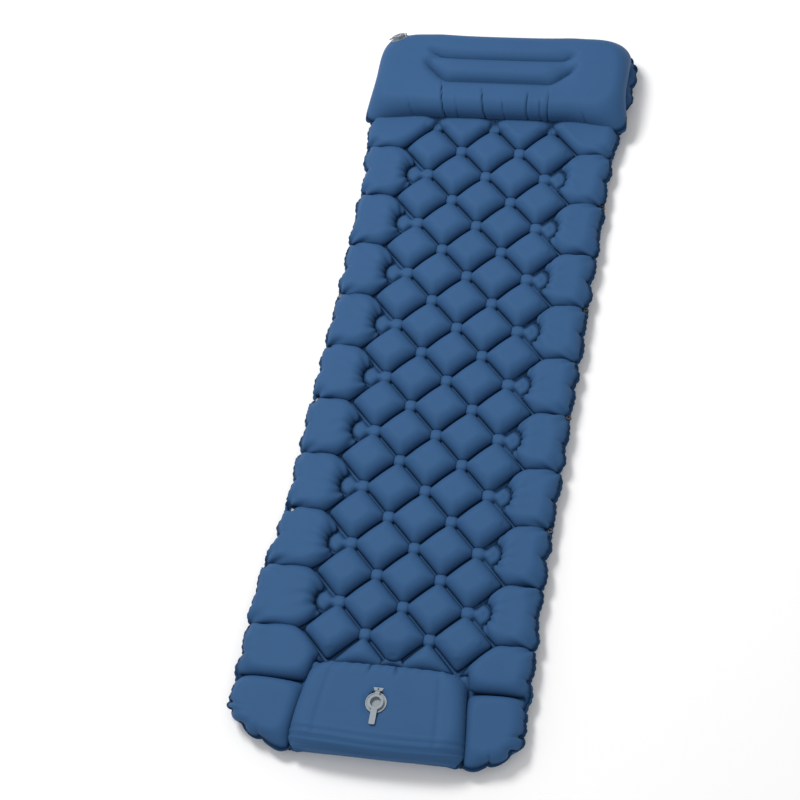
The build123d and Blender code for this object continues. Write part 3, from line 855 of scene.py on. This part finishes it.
# Painted shade on the pump: low down near its seam and in the folds beside the port
pump_shade = np.exp(-((pump_points[..., 2] - weld_z) / 0.006) ** 2) + 0.6 * smooth(fold_dent, 0.001, 0.004)
add_trait(pump_upper, "crease", np.clip(pump_shade, 0, 1).reshape(-1)[kept])
pump_upper.data.materials.append(nylon)
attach(pump_upper, "mattress")
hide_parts("pump_top_panel", "pump_foam_block")
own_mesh(pump_upper)

lower_pump_flat = pump_flat.copy()
lower_pump_flat[..., :2] = np.stack([rim_x, by], -1)
lower_pump_flat[..., 2] = sheet_thick
pump_bottom = blow_up(lower_pump_flat, pump_rim, np.full(bx.shape + (3,), 0.2), np.zeros(bx.shape + (3,)),
                      140, push=0.0002, high=np.full(bx.shape, weld_z), seed=6)
pump_bottom[..., 2] = weld_z - pump_bottom[..., 2]
tuck = pump_rim_front + 0.45 * (weld_z - pump_bottom[..., 2])
pump_bottom[..., 1] = np.maximum(pump_bottom[..., 1], tuck)
pump_lower, kept = thin_wall("pump_lower", pump_bottom, None, sheet_thick, face_up=False)
# Painted shade on the pump's lower sheet, where it rises to its seam
add_trait(pump_lower, "crease", np.exp(-((weld_z - pump_bottom[..., 2]) / 0.006) ** 2).reshape(-1)[kept])
pump_lower.data.materials.append(nylon)
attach(pump_lower, "mattress")
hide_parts("pump_side_wall")

# ---- Valves -------------------------------------------------------------------------------------
# Moulded from grey flexible plastic: the pump's inlet with its pull tab, the two-layer head valve and
# the plate with the flap between the pump and the body.


def moulded(name, colour, rough, **even):
    """A matt moulding with a fine spark finish and slight handling marks."""
    part = Finish(name, **even)
    place = part.node("ShaderNodeTexCoord", out="Object")
    grain = part.node("ShaderNodeTexNoise", None, {"Vector": place, "Scale": 900.0, "Detail": 2.0}, out="Fac")
    marks = part.node("ShaderNodeTexNoise", None, {"Vector": place, "Scale": 70.0, "Detail": 5.0}, out="Fac")
    light = tuple(min(1.0, c * 1.18) for c in colour) + (1.0,)
    deep = tuple(c * 0.84 for c in colour) + (1.0,)
    bump = part.node("ShaderNodeBump", None, {"Height": grain, "Strength": 0.25, "Distance": 0.00015})
    part.show(Base_Color=blend_colours(part, marks, deep, light),
              Roughness=rough - 0.06 + marks * 0.14, Normal=bump)
    return part.material


valve_grey = moulded("valve_grey", (0.195, 0.23, 0.265), 0.46)
clear_rubber = moulded("clear_rubber", (0.55, 0.58, 0.58), 0.35)
snap_black = moulded("snap_black", (0.012, 0.014, 0.018), 0.28)
for node, finish in {
    "inlet_valve_base": valve_grey, "inlet_strap": valve_grey, "inlet_plug_cap": valve_grey,
    "inlet_membrane": clear_rubber, "transfer_valve_body": valve_grey, "transfer_valve_flap": clear_rubber,
    "head_valve_base": valve_grey, "head_valve_strap": valve_grey, "head_deflate_plug": valve_grey,
    "head_membrane": clear_rubber, "head_inflate_cap": valve_grey,
    "snap_stud_caps": snap_black, "snap_studs": snap_black, "snap_socket_caps": snap_black,
    "snap_sockets": snap_black,
}.items():
    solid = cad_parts[node]
    if not solid.material_slots:
        solid.data.materials.append(finish)
    for slot in solid.material_slots:
        slot.material = finish
